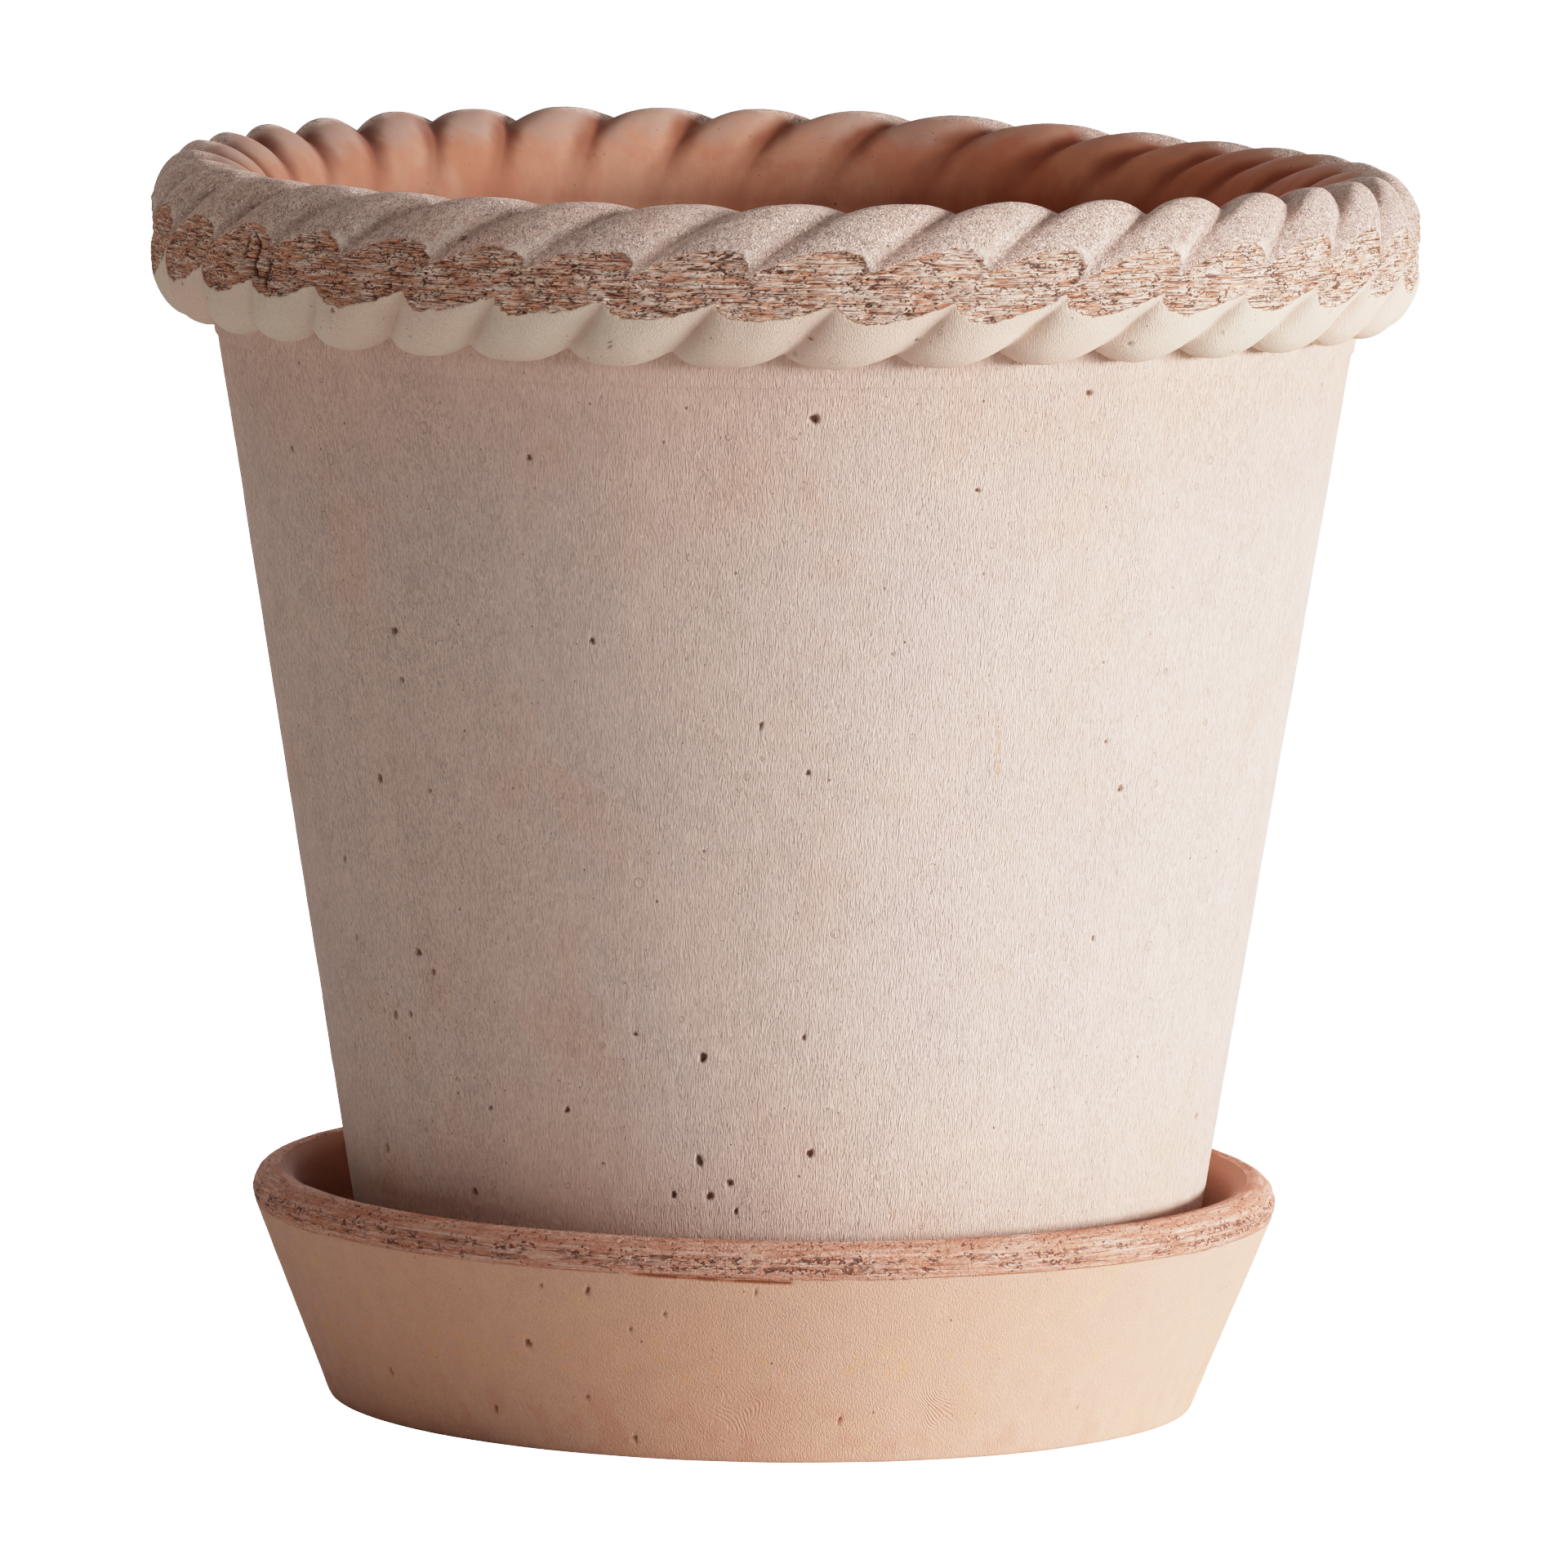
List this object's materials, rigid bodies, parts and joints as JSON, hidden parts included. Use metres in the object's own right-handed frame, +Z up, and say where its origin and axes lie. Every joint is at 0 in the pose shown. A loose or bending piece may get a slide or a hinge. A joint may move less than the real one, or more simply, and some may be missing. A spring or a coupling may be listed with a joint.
{
  "type": "terracotta plant pot",
  "caption": "Tapered terracotta plant pot with a thick rope-twist rim, standing in a shallow flared saucer that catches drained water.",
  "frame": {"origin": "centre of the saucer's underside, on the ground", "axes": "+Z up along the common axis of pot and saucer; -Y is the front shown, +X to its right"},
  "size_m": [0.18, 0.18, 0.1774],
  "materials": {
    "pot_clay": "unglazed, pale chalky bloom over pinkish clay, matte",
    "saucer_clay": "unglazed, peach-orange clay with a rough reddish lip, matte"
  },
  "bodies": {
    "saucer": {"saucer": "saucer_clay"},
    "pot": {"pot": "pot_clay"}
  },
  "joints": [
    {"name": "pot_lift", "type": "slide", "parent": "saucer", "child": "pot", "axis": [0, 0, 1], "range_m": [0, 0.06]}
  ]
}
